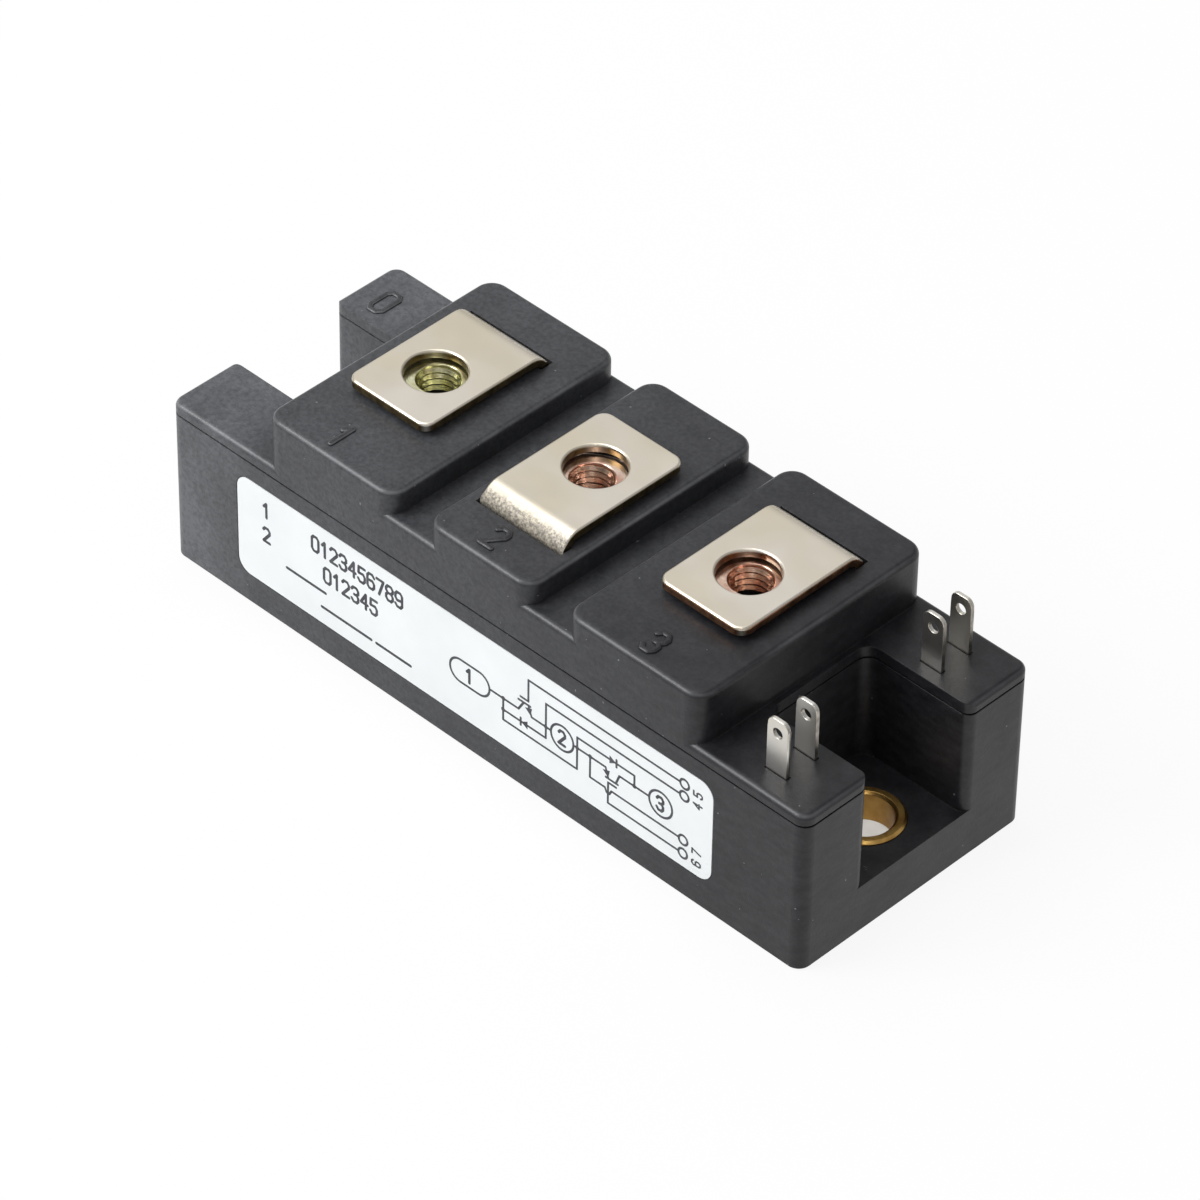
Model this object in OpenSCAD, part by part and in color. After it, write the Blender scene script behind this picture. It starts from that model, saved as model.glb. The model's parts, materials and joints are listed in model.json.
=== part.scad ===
// Half-bridge power module in a moulded housing: screw terminals on top, push-on signal tabs at
// the right-hand end, a screw notch with a brass sleeve at each end, and the chips, tracks, bond
// wires and gel that it holds inside. X runs along the length, the label faces -Y, and the
// mounting face of the baseplate lies at Z = 0.

/* [Housing] */
// Length of the housing
body_length = 94; // [88:0.5:116]
// Width of the housing
body_width = 34; // [33:0.5:44]
// Height of the four corner tops
corner_top = 21.3; // [19:0.1:25]
// Thickness of the lid plate, from the parting line to the corner tops
lid_thickness = 1.6; // [1.2:0.1:2.4]
// Wall of the case
case_wall = 1.6; // [1.2:0.1:1.8]
// Radius of the upright outer corners
corner_radius = 1.5; // [0.8:0.1:3]
// Height and depth of the groove at the parting line
parting_groove = 0.25; // [0.1:0.05:0.5]
// Small rounding of the moulded top edges
edge_round = 0.7; // [0.2:0.1:0.8]
// Air under the case, so that only the baseplate touches the heatsink
case_lift = 0.15; // [0.05:0.05:0.5]
// Wall of the skirt that locates the lid inside the case
skirt_wall = 1; // [0.8:0.1:1.4]
// Depth of that skirt
skirt_depth = 1.5; // [1:0.1:3]

/* [Terminal blocks] */
// Height of the terminal blocks
block_top = 28; // [26:0.1:33]
// Height of the bridges between the blocks
bridge_top = 25; // [23:0.1:25.5]
// Distance between neighbouring terminals
terminal_pitch = 23; // [22.5:0.1:27]
// Width of the middle block
middle_block_width = 15.5; // [14.6:0.1:17]
// Clear gap between two blocks
block_gap = 4.9; // [4:0.1:6]
// Width of the two outer blocks
outer_block_width = 19.45; // [19:0.05:21]
// Radius of the upright corners of a block
block_radius = 2.2; // [1:0.1:3]
// Thickness of the top and inner walls of a block
block_wall = 1.6; // [1.2:0.1:2]

/* [End notches] */
// Width of each screw notch
notch_width = 15; // [13:0.1:17]
// Depth of each notch, from the end of the housing
notch_depth = 14.15; // [12.5:0.05:16]
// Height of the notch floor
notch_floor = 6.4; // [5.5:0.1:9]
// Radius of the inner corners of a notch
notch_radius = 1.6; // [0.8:0.1:3]
// Rounding where a notch opens to the end
notch_mouth_round = 1.2; // [0.5:0.1:2]
// Distance from each mounting hole to its end of the housing
hole_inset = 7; // [6:0.1:8]
// Bore of the mounting holes
hole_diameter = 6.5; // [5.5:0.1:7]
// Outer diameter of the brass sleeves
sleeve_diameter = 9; // [8.4:0.1:10]
// How far a sleeve stands above the notch floor
sleeve_proud = 0.4; // [0.1:0.1:1]
// Chamfer on both rims of a sleeve
sleeve_chamfer = 0.3; // [0.1:0.05:0.4]

/* [Base] */
// Thickness of the copper baseplate
base_thickness = 3; // [2.5:0.1:4]
// Width of the plastic rim round the baseplate
base_rim = 1.5; // [1.2:0.1:2]
// Gap round and above the baseplate, filled by the seal
seal_gap = 0.2; // [0.1:0.05:0.4]
// Width of the ledge inside the case that sits on the baseplate
ledge_width = 1.3; // [0.8:0.1:1.4]
// Height of that ledge
ledge_height = 2; // [1:0.1:3]

/* [Terminals] */
// Height of the terminal faces
terminal_top = 29.7; // [29.1:0.1:34]
// Width of a terminal
terminal_width = 12.2; // [11:0.1:13]
// Thickness of the terminal sheet
terminal_sheet = 1; // [0.8:0.1:1.4]
// Distance from the hole to the free end
free_length = 7.4; // [6:0.1:9]
// Distance from the hole to the outer face of the leg
leg_reach = 11.1; // [9.8:0.1:11.5]
// How far a hole lies off its nut, towards the free end
hole_shift = 0.45; // [0:0.05:0.8]
// Outer radius of the bend over the block
bend_radius = 2.6; // [1.5:0.1:3]
// Radius of the two corners at the free end
free_corner_radius = 1.5; // [0.5:0.1:3]
// Diameter of the terminal hole
terminal_hole = 7; // [5.6:0.1:8]
// Width of the leg inside the housing
neck_width = 6; // [4:0.1:7]
// Length of the soldered foot
foot_length = 4; // [3:0.1:5]
// Outer radius of the bend into the foot
foot_bend = 1.6; // [1.2:0.1:2.5]

/* [Nuts] */
// Width across the flats of an M5 nut
nut_flats = 8; // [7:0.1:9]
// Height of a nut
nut_height = 4; // [3:0.1:5]
// Core diameter of the nut thread
nut_core = 4.2; // [4:0.05:4.6]
// How much narrower than its flats the round end faces of a nut are
nut_face_step = 0.4; // [0.2:0.1:0.6]
// Chamfer on the outer corners of a nut
nut_chamfer = 0.35; // [0.2:0.05:0.6]
// Depth and width of the countersink at both ends of the thread
nut_lead_in = 0.5; // [0.2:0.1:0.8]
// Gap between the nut and the terminal above it
nut_gap = 0.35; // [0.1:0.05:0.6]
// Wall round a nut pocket
pocket_wall = 1.5; // [1:0.1:2]
// Diameter of the screw relief below a nut
relief_diameter = 5.6; // [5.2:0.1:6.4]
// Depth of the screw relief below a nut
relief_depth = 6; // [4:0.1:7]

/* [Signal tabs] */
// Width of a tab blade
tab_width = 2.8; // [2.4:0.1:3.2]
// Thickness of a tab blade
tab_sheet = 0.5; // [0.4:0.05:0.8]
// Height of the tab tips
tab_top = 28.4; // [26:0.1:32]
// Distance between the two tabs of a pair
tab_pitch = 4.2; // [3.6:0.1:5]
// Distance from the middle line to the inner tab of a pair
tab_offset = 9.5; // [9.4:0.05:10.5]
// Diameter of the hole in a tab
tab_hole = 1.3; // [0.8:0.1:1.6]
// Distance from that hole up to the tip
tab_hole_depth = 1.75; // [1.4:0.05:3]
// Radius of the two corners of a tip
tab_tip_radius = 0.9; // [0.3:0.1:1.1]
// How far each shoulder under the lid stands out beside the blade
tab_shoulder = 0.8; // [0.4:0.1:1.2]
// Height of the shoulders
tab_shoulder_height = 1.2; // [0.8:0.1:2]
// Height of the underside of the arm that leads inwards
tab_arm_bottom = 8; // [7:0.1:11]
// Height of the arm
tab_arm_height = 2; // [1.5:0.1:3]
// Width of the post that goes down to the track
tab_post_width = 1.4; // [1:0.1:1.5]

/* [Chips and tracks] */
// Length of the ceramic substrate
ceramic_length = 58; // [57:0.5:58.5]
// Width of the ceramic substrate
ceramic_width = 27; // [26.5:0.1:28]
// Thickness of the ceramic
ceramic_sheet = 0.4; // [0.3:0.05:1]
// Thickness of the copper on both sides of the ceramic
track_sheet = 0.3; // [0.2:0.05:0.4]
// Thickness of each solder layer
solder = 0.15; // [0.1:0.05:0.3]
// Thickness of a chip
chip_sheet = 0.25; // [0.15:0.05:0.4]
// Side of a switching chip
igbt_side = 8.5; // [7:0.1:9]
// Side of a diode chip
diode_side = 6.5; // [5:0.1:7]
// Thickness of a bond wire
wire_diameter = 0.3; // [0.2:0.05:0.4]
// Height of the gel surface
gel_top = 13; // [10:0.5:16]
// Ceramic left bare round the tracks
track_edge = 0.8; // [0.5:0.1:1.2]
// Gap between two tracks
track_space = 0.9; // [0.6:0.1:1.2]
// Width of the two gate tracks
gate_track = 1.2; // [0.9:0.1:1.5]
// Width of the minus track, where the foot on it needs no more
minus_width = 5; // [4.2:0.1:5.4]
// Width of the strip that carries the middle track across
strip_width = 3.8; // [3:0.1:4.2]
// Width of the part of that track that runs up to the inner tab
riser_width = 1.5; // [1.2:0.1:1.8]
// Where the left-hand area of the middle track ends
area_end_x = -3.75; // [-5:0.25:-3]
// Distance from the edge of a track to its chips, along the module
chip_inset_x = 2; // [1:0.1:2.5]
// Distance from the edge of a track to its chips, across the module
chip_inset_y = 0.5; // [0.3:0.1:0.8]
// Gap between a switching chip and its diode
chip_gap = 2.5; // [1.5:0.1:3]
// Distance between neighbouring bond wires
wire_pitch = 1.3; // [1:0.1:1.4]
// Number of bond wires on a switching chip
igbt_wires = 6; // [3:1:6]
// Number of bond wires on a diode
diode_wires = 4; // [2:1:5]
// Radius of a bond wire's arc, as a share of its span: 0.5 is a half circle
bond_roundness = 0.55; // [0.51:0.01:0.8]
// How far the power wires start off the middle of their chip
bond_shift = 1.5; // [0:0.1:2]
// Distance from the minus track's inner edge to the wires on it
minus_landing = 1.5; // [1:0.1:3]
// Distance from the edge of a switching chip to its gate wire
gate_pad_inset = 1; // [0.5:0.1:1.5]

/* [Label] */
// Length of the label
label_length = 70.9; // [60:0.1:74]
// Height of the label
label_height = 13.4; // [10:0.1:14]
// How far the middle of the label lies to the left of the middle of the housing
label_left = 1.15; // [0:0.05:3]
// Height of the lower edge of the label
label_bottom = 4; // [2:0.1:4.5]
// Thickness of the label
label_sheet = 0.1; // [0.05:0.05:0.2]
// Radius of the corners of the label
label_radius = 1.8; // [0.5:0.1:3]

/* [Fits] */
// Gap on each side between the lid and the case
lid_fit = 0.1; // [0.05:0.05:0.3]
// Gap on each side of a nut in its pocket
nut_fit = 0.1; // [0.05:0.05:0.3]
// Gap on each side of a terminal or tab in its slot
slot_fit = 0.1; // [0.1:0.05:0.3]
// Gap behind a leg in its slot
leg_gap = 0.4; // [0.1:0.05:0.8]
// Gap on each side of a brass sleeve in the case
sleeve_fit = 0.05; // [0.02:0.01:0.1]
// Gap round the label in its recess
label_fit = 0.1; // [0.05:0.05:0.3]

/* [Hidden] */
$fn = 64;
hair = 0.01;                      // overlap that keeps joined shapes in one piece

hole_pitch = body_length - 2 * hole_inset;
parting = corner_top - lid_thickness;
groove_top = parting + parting_groove;
middle_half = middle_block_width / 2;
outer_block_inner = middle_half + block_gap;
outer_block_outer = outer_block_inner + outer_block_width;
outer_block_x = (outer_block_inner + outer_block_outer) / 2;
terminal_under = terminal_top - terminal_sheet;
nut_bottom = terminal_under - nut_gap - nut_height;
pocket_diameter = (nut_flats + 2 * nut_fit) / cos(30);
boss_diameter = pocket_diameter + 2 * pocket_wall;
boss_bottom = nut_bottom - relief_depth - pocket_wall;
leg_y = leg_reach - hole_shift;   // outer face of a leg, measured from the nut line
bend_x = leg_y - bend_radius;     // axis of the bend over the block
bend_z = terminal_top - bend_radius;
bend_inner = bend_radius - terminal_sheet;
bend_in_block = max(block_top - bend_z, 0);   // how far the block top lies above that axis
slot_inner_y = bend_x + sqrt(max(pow(bend_inner, 2) - pow(bend_in_block, 2), 0)) - slot_fit;
terminal_free_end = -free_length - hole_shift;
base_length = body_length - 2 * (base_rim + seal_gap);
base_width = body_width - 2 * (base_rim + seal_gap);
sleeve_top = notch_floor + sleeve_proud;
hollow_half_x = body_length / 2 - notch_depth - case_wall - lid_fit - skirt_wall;
hollow_half_y = body_width / 2 - case_wall - lid_fit - skirt_wall;

// Layers of the substrate, from the baseplate up
copper_bottom = base_thickness + solder;
ceramic_bottom = copper_bottom + track_sheet;
track_bottom = ceramic_bottom + ceramic_sheet;
track_top = track_bottom + track_sheet;
chip_bottom = track_top + solder;
chip_top = chip_bottom + chip_sheet;

// Track layout on the ceramic
track_x = ceramic_length / 2 - track_edge;
track_y = ceramic_width / 2 - track_edge;
gate_inner_y = track_y - gate_track - track_space;
foot_margin = 0.05;               // the minus track reaches this far past the foot that stands on it
minus_inner_y = max(minus_width - gate_inner_y, foot_length + foot_margin - leg_y);
strip_y0 = minus_inner_y + track_space;
strip_y1 = strip_y0 + strip_width;
plus_x = area_end_x + track_space;
plus_y = strip_y1 + track_space;
riser_x = track_x - riser_width;

// Middles of the four chips: [x, y]
diode_step = chip_gap + (igbt_side + diode_side) / 2;
igbt_upper_at = [plus_x + chip_inset_x + igbt_side / 2, plus_y + chip_inset_y + igbt_side / 2];
igbt_lower_at = [area_end_x - chip_inset_x - igbt_side / 2, strip_y0 + chip_inset_y + igbt_side / 2];
diode_upper_at = [igbt_upper_at[0] + diode_step, plus_y + chip_inset_y + diode_side / 2];
diode_lower_at = [igbt_lower_at[0] - diode_step, strip_y0 + chip_inset_y + diode_side / 2];

// Lines of the signal tabs across the module, from the rear to the front
tab_inner_y = tab_offset;
tab_outer_y = tab_offset + tab_pitch;
tab_lines = [tab_outer_y, tab_inner_y, -tab_inner_y, -tab_outer_y];
post_x = track_x - riser_width / 2;
outer_foot = tab_outer_y - track_y + gate_track;
inner_foot = gate_inner_y - tab_inner_y + tab_sheet;

// ---------- shared outlines ----------

// Rectangle with true arcs at its corners, centred on the origin
module rounded_rect(w, d, r) {
    square([w - 2 * r, d], center = true);
    square([w, d - 2 * r], center = true);
    for (sx = [-1, 1], sy = [-1, 1])
        translate([sx * (w / 2 - r), sy * (d / 2 - r)]) circle(r);
}

// What is taken off an outside corner to leave it round, with that corner at the origin
module corner_cut(r) {
    difference() {
        translate([-r, -r]) square(r + hair);
        translate([-r, -r]) circle(r);
    }
}

// Both end notches, grown by g to leave a wall round them
module notches(g = 0) {
    for (s = [-1, 1])
        translate([s * body_length / 2, 0])
            rounded_rect(2 * (notch_depth + g), notch_width + 2 * g, notch_radius + g);
}

// Outline of the housing above the notch floors, set in by g on every side
module housing_outline(g = 0) {
    mouth = max(notch_mouth_round - g, 0.2);
    difference() {
        rounded_rect(body_length - 2 * g, body_width - 2 * g, max(corner_radius - g, 0.3));
        notches(g);
        for (sx = [0, 1], sy = [0, 1])
            mirror([sx, 0]) mirror([0, sy])
                translate([body_length / 2 - g, notch_width / 2 + g]) mirror([0, 1]) corner_cut(mouth);
    }
}

// Quarter of a disc, to the right of and above the origin
module quarter_disc(r) {
    intersection() {
        circle(r);
        square(r);
    }
}

// Block on z = 0 with rounded upright corners and a small rounding round its top
module moulded_block(w, d, h, r) {
    e = edge_round;
    linear_extrude(h - e) rounded_rect(w, d, r);
    linear_extrude(h) rounded_rect(w - 2 * e, d - 2 * e, r - e);
    translate([0, 0, h - e]) for (turn = [0, 180]) rotate(turn) {
        translate([0, d / 2 - e, 0]) rotate([90, 0, 90])
            linear_extrude(w - 2 * r, center = true) quarter_disc(e);
        translate([w / 2 - e, 0, 0]) rotate([90, 0, 0])
            linear_extrude(d - 2 * r, center = true) quarter_disc(e);
        translate([w / 2 - r, d / 2 - r, 0]) rotate_extrude(angle = 90) translate([r - e, 0]) quarter_disc(e);
        translate([r - w / 2, d / 2 - r, 0]) rotate(90) rotate_extrude(angle = 90)
            translate([r - e, 0]) quarter_disc(e);
    }
}

// ---------- housing ----------

module case_colour() { color([0.20, 0.205, 0.21]) children(); }

module baseplate() {
    color([0.80, 0.78, 0.74]) difference() {
        linear_extrude(base_thickness) rounded_rect(base_length, base_width, corner_radius);
        mounting_bores(hole_diameter);
    }
}

module mounting_bores(d) {
    for (s = [-1, 1])
        translate([s * hole_pitch / 2, 0, -1]) cylinder(d = d, h = corner_top);
}

// Space in the case that the baseplate and its seal fill
module base_recess(h) {
    linear_extrude(h)
        rounded_rect(base_length + 2 * seal_gap, base_width + 2 * seal_gap, corner_radius);
}

module base_seal() {
    seal_bottom = base_thickness / 4;
    color([0.75, 0.76, 0.76]) difference() {
        translate([0, 0, seal_bottom]) base_recess(base_thickness + seal_gap - seal_bottom);
        linear_extrude(base_thickness) rounded_rect(base_length, base_width, corner_radius);
        linear_extrude(base_thickness + 1) housing_outline(case_wall + ledge_width);
        mounting_bores(sleeve_diameter + 2 * sleeve_fit);
    }
}

module case() {
    case_colour() difference() {
        union() {
            translate([0, 0, case_lift]) linear_extrude(notch_floor - case_lift)
                rounded_rect(body_length, body_width, corner_radius);
            translate([0, 0, case_lift]) linear_extrude(parting - case_lift) housing_outline();
        }
        translate([0, 0, -hair]) base_recess(base_thickness + seal_gap + hair);
        linear_extrude(corner_top) housing_outline(case_wall + ledge_width);
        translate([0, 0, base_thickness + ledge_height]) linear_extrude(corner_top)
            housing_outline(case_wall);
        mounting_bores(sleeve_diameter + 2 * sleeve_fit);
        label_plate(label_fit);
    }
}

module sleeve(side) {
    straight = sleeve_top - base_thickness - sleeve_chamfer;
    color([0.76, 0.60, 0.30]) translate([side * hole_pitch / 2, 0, base_thickness]) difference() {
        union() {
            cylinder(d = sleeve_diameter, h = straight);
            translate([0, 0, straight])
                cylinder(d1 = sleeve_diameter, d2 = sleeve_diameter - 2 * sleeve_chamfer, h = sleeve_chamfer);
        }
        translate([0, 0, -1]) cylinder(d = hole_diameter, h = straight + 2);
        translate([0, 0, straight])
            cylinder(d1 = hole_diameter, d2 = hole_diameter + 2 * sleeve_chamfer, h = sleeve_chamfer + hair);
    }
}
module sleeve_left() { sleeve(-1); }
module sleeve_right() { sleeve(1); }

// ---------- lid ----------

// Lid plate: covers the corners, with the parting groove below and rounded outer edges above
module lid_plate() {
    translate([0, 0, parting]) linear_extrude(parting_groove + hair) housing_outline(parting_groove);
    translate([0, 0, groove_top]) intersection() {
        linear_extrude(corner_top - groove_top) housing_outline();
        moulded_block(body_length, body_width, corner_top - groove_top, corner_radius);
    }
}

// Skirt that locates the lid inside the case
module lid_skirt() {
    translate([0, 0, parting - skirt_depth]) linear_extrude(skirt_depth + hair) difference() {
        housing_outline(case_wall + lid_fit);
        housing_outline(case_wall + lid_fit + skirt_wall);
    }
}

// Slab between the blocks, with its two long top edges rounded
module bridge_slab(w, h) {
    rotate([90, 0, 90]) linear_extrude(w, center = true) {
        translate([-body_width / 2, 0]) square([body_width, h - edge_round]);
        translate([edge_round - body_width / 2, 0]) square([body_width - 2 * edge_round, h]);
        for (s = [-1, 1]) translate([s * (body_width / 2 - edge_round), h - edge_round]) circle(edge_round);
    }
}

module lid_blocks() {
    rise = block_top - groove_top;
    translate([0, 0, groove_top]) {
        moulded_block(middle_block_width, body_width, rise, block_radius);
        for (s = [-1, 1]) translate([s * outer_block_x, 0, 0])
            moulded_block(outer_block_width, body_width, rise, block_radius);
        bridge_slab(2 * outer_block_x, bridge_top - groove_top);
    }
}

// Gaps in the skirt that let the shoulders of the two inner tabs pass
module skirt_gaps() {
    y0 = notch_width / 2 + case_wall;
    y1 = max(y0 + lid_fit + skirt_wall, tab_inner_y + tab_sheet / 2) + slot_fit;
    gap_width = tab_width + 2 * (tab_shoulder + slot_fit);
    for (m = [0, 1]) mirror([0, m, 0])
        translate([hole_pitch / 2 - gap_width / 2, y0, parting - skirt_depth - 1])
            cube([gap_width, y1 - y0, skirt_depth + 1]);
}

// The room under the blocks and bridges
module lid_hollow() {
    block_room = block_top - block_wall;
    bridge_room = bridge_top - block_wall;
    z0 = parting - skirt_depth - 1;
    module room(x0, x1, top) {
        translate([x0, -hollow_half_y, z0]) cube([x1 - x0, 2 * hollow_half_y, top - z0]);
    }
    room(-hollow_half_x, hollow_half_x, bridge_room);
    room(-middle_half + block_wall, middle_half - block_wall, block_room);
    room(outer_block_inner + block_wall, hollow_half_x, block_room);
    room(-hollow_half_x, -outer_block_inner - block_wall, block_room);
}

module at_terminals() {
    for (i = [-1 : 1]) translate([i * terminal_pitch, 0, 0]) children();
}

module nut_pocket() {
    translate([0, 0, nut_bottom]) rotate(30) cylinder(d = pocket_diameter, h = block_top, $fn = 6);
    translate([0, 0, nut_bottom - relief_depth]) cylinder(d = relief_diameter, h = relief_depth + 1);
}

// Slot in a block top for a leg and the end of its bend; side is 1 at the rear and -1 at the front
module leg_slot(side) {
    depth = leg_y + leg_gap - slot_inner_y;
    translate([0, side * (slot_inner_y + depth / 2), parting + block_top / 2])
        cube([terminal_width + 2 * slot_fit, depth, block_top], center = true);
}

module tab_slots() {
    for (y = tab_lines)
        translate([hole_pitch / 2, y, parting + lid_thickness / 2])
            cube([tab_width + 2 * slot_fit, tab_sheet + 2 * slot_fit, lid_thickness + 2], center = true);
}

module lid() {
    case_colour() difference() {
        union() {
            difference() {
                union() {
                    lid_plate();
                    lid_skirt();
                    lid_blocks();
                }
                lid_hollow();
            }
            at_terminals() translate([0, 0, boss_bottom])
                cylinder(d = boss_diameter, h = block_top - block_wall / 2 - boss_bottom);
        }
        at_terminals() nut_pocket();
        for (s = [-1, 1]) translate([s * terminal_pitch, 0, 0]) leg_slot(1);
        leg_slot(-1);
        tab_slots();
        skirt_gaps();
    }
}

// ---------- terminals and nuts ----------

// Quarter of a ring about the origin, in the quadrant given by the two signs
module quarter_ring(r, t, sx, sy) {
    intersection() {
        difference() {
            circle(r);
            circle(r - t);
        }
        translate([sx > 0 ? 0 : -r, sy > 0 ? 0 : -r]) square(r);
    }
}

// Side view of a formed terminal, with the nut line at x = 0 and the leg at +x
module terminal_section() {
    t = terminal_sheet;
    foot_x = leg_y - foot_bend;
    foot_z = track_top + foot_bend;
    translate([terminal_free_end, terminal_under]) square([bend_x - terminal_free_end + hair, t]);
    translate([bend_x, bend_z]) quarter_ring(bend_radius, t, 1, 1);
    translate([leg_y - t, foot_z - hair]) square([t, bend_z - foot_z + 2 * hair]);
    translate([foot_x, foot_z]) quarter_ring(foot_bend, t, 1, -1);
    translate([leg_y - foot_length, track_top]) square([foot_length - foot_bend + hair, t]);
}

// A terminal as sheet metal: side view across the width, cut to the plan of its free end
module terminal(leg_side) {
    waste = terminal_width - neck_width;
    color([0.86, 0.83, 0.77]) mirror([0, leg_side > 0 ? 0 : 1, 0]) difference() {
        intersection() {
            rotate([90, 0, 90]) linear_extrude(terminal_width, center = true) terminal_section();
            linear_extrude(terminal_top + 1) translate([0, terminal_free_end + body_width / 2])
                rounded_rect(terminal_width, body_width, free_corner_radius);
        }
        translate([0, -hole_shift, terminal_under - 1]) cylinder(d = terminal_hole, h = terminal_sheet + 2);
        for (s = [-1, 1])
            translate([s * (neck_width + waste) / 2, leg_y - body_width / 4, parting / 2])
                cube([waste, body_width, parting], center = true);
    }
}
module terminal_1() { translate([-terminal_pitch, 0, 0]) terminal(1); }
module terminal_2() { terminal(-1); }
module terminal_3() { translate([terminal_pitch, 0, 0]) terminal(1); }

module nut() {
    corner = nut_flats / cos(30);
    blank = corner + 2 * hair;
    face = nut_flats - nut_face_step;
    mouth = nut_core + 2 * nut_lead_in;
    color([0.78, 0.70, 0.45]) translate([0, 0, nut_bottom]) difference() {
        intersection() {
            rotate(30) cylinder(d = corner, h = nut_height, $fn = 6);
            union() {
                cylinder(d1 = face, d2 = blank, h = nut_chamfer);
                translate([0, 0, nut_chamfer]) cylinder(d = blank, h = nut_height - 2 * nut_chamfer);
                translate([0, 0, nut_height - nut_chamfer])
                    cylinder(d1 = blank, d2 = face, h = nut_chamfer);
            }
        }
        translate([0, 0, -1]) cylinder(d = nut_core, h = nut_height + 2);
        translate([0, 0, -hair]) cylinder(d1 = mouth, d2 = nut_core, h = nut_lead_in);
        translate([0, 0, nut_height - nut_lead_in + hair])
            cylinder(d1 = nut_core, d2 = mouth, h = nut_lead_in);
    }
}
module nut_1() { translate([-terminal_pitch, 0, 0]) nut(); }
module nut_2() { nut(); }
module nut_3() { translate([terminal_pitch, 0, 0]) nut(); }

// ---------- signal tabs ----------

// Stamped shape of a tab in its own plane: blade, shoulders under the lid, arm and post
module tab_blank() {
    x = hole_pitch / 2;
    half = tab_width / 2;
    post_left = post_x - tab_post_width / 2;
    straight_top = tab_top - tab_tip_radius;
    difference() {
        union() {
            translate([x - half, tab_arm_bottom])
                square([tab_width, straight_top - tab_arm_bottom]);
            translate([x - half + tab_tip_radius, tab_arm_bottom])
                square([tab_width - 2 * tab_tip_radius, tab_top - tab_arm_bottom]);
            for (s = [-1, 1])
                translate([x + s * (half - tab_tip_radius), straight_top]) circle(tab_tip_radius);
            translate([x - half - tab_shoulder, parting - slot_fit - tab_shoulder_height])
                square([tab_width + 2 * tab_shoulder, tab_shoulder_height]);
            translate([post_left, tab_arm_bottom]) square([x + half - post_left, tab_arm_height]);
            translate([post_left, track_top]) square([tab_post_width, tab_arm_bottom - track_top + hair]);
        }
        translate([x, tab_top - tab_hole_depth]) circle(d = tab_hole);
    }
}

// A tab whose blade stands at y, with a foot that reaches from there towards the middle line
module tab(y, foot) {
    color([0.80, 0.79, 0.77]) {
        translate([0, y + tab_sheet / 2, 0]) rotate([90, 0, 0]) linear_extrude(tab_sheet) tab_blank();
        translate([post_x - tab_post_width / 2, y > 0 ? y - foot : y, track_top])
            cube([tab_post_width, foot, tab_sheet]);
    }
}
module tab_4() { tab(tab_outer_y, outer_foot); }
module tab_5() { tab(tab_inner_y, inner_foot); }
module tab_6() { tab(-tab_inner_y, inner_foot); }
module tab_7() { tab(-tab_outer_y, outer_foot); }

// ---------- label ----------

// The label, or with a gap g the recess it lies in
module label_plate(g = 0) {
    translate([-label_left, -body_width / 2, label_bottom + label_height / 2]) rotate([90, 0, 0])
        translate([0, 0, -label_sheet]) linear_extrude(label_sheet + g)
            rounded_rect(label_length + 2 * g, label_height + 2 * g, label_radius + g);
}
module label() { color([0.93, 0.93, 0.93]) label_plate(); }

// ---------- substrate ----------

module slab(x0, y0, x1, y1, z, h) { translate([x0, y0, z]) cube([x1 - x0, y1 - y0, h]); }

module copper() { color([0.78, 0.47, 0.30]) children(); }

module substrate_solder() {
    color([0.62, 0.63, 0.66]) slab(-track_x, -track_y, track_x, track_y, base_thickness, solder);
}
module back_copper() {
    copper() slab(-track_x, -track_y, track_x, track_y, copper_bottom, track_sheet);
}
module ceramic() {
    half_length = ceramic_length / 2;
    half_width = ceramic_width / 2;
    color([0.90, 0.90, 0.87])
        slab(-half_length, -half_width, half_length, half_width, ceramic_bottom, ceramic_sheet);
}
module track(x0, y0, x1, y1) { slab(x0, y0, x1, y1, track_bottom, track_sheet); }

module track_plus() { copper() track(plus_x, plus_y, riser_x - track_space, gate_inner_y); }
module track_middle() {
    copper() {
        track(-track_x, strip_y0, area_end_x, track_y);
        track(area_end_x - hair, strip_y0, track_x, strip_y1);
        track(riser_x, strip_y1 - hair, track_x, gate_inner_y);
    }
}
module track_minus() { copper() track(-track_x, -gate_inner_y, track_x, minus_inner_y); }
module track_gate_upper() { copper() track(plus_x, track_y - gate_track, track_x, track_y); }
module track_gate_lower() {
    copper() track(igbt_lower_at[0] - igbt_side / 2, -track_y, track_x, gate_track - track_y);
}

// ---------- chips and bond wires ----------

module chip_square(at, side, z, h) {
    translate([at[0] - side / 2, at[1] - side / 2, z]) cube([side, side, h]);
}
module chip_solder() {
    color([0.62, 0.63, 0.66]) {
        chip_square(igbt_upper_at, igbt_side, track_top, solder);
        chip_square(igbt_lower_at, igbt_side, track_top, solder);
        chip_square(diode_upper_at, diode_side, track_top, solder);
        chip_square(diode_lower_at, diode_side, track_top, solder);
    }
}
module chip(at, side) { color([0.45, 0.47, 0.52]) chip_square(at, side, chip_bottom, chip_sheet); }
module igbt_upper() { chip(igbt_upper_at, igbt_side); }
module igbt_lower() { chip(igbt_lower_at, igbt_side); }
module diode_upper() { chip(diode_upper_at, diode_side); }
module diode_lower() { chip(diode_lower_at, diode_side); }

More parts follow.
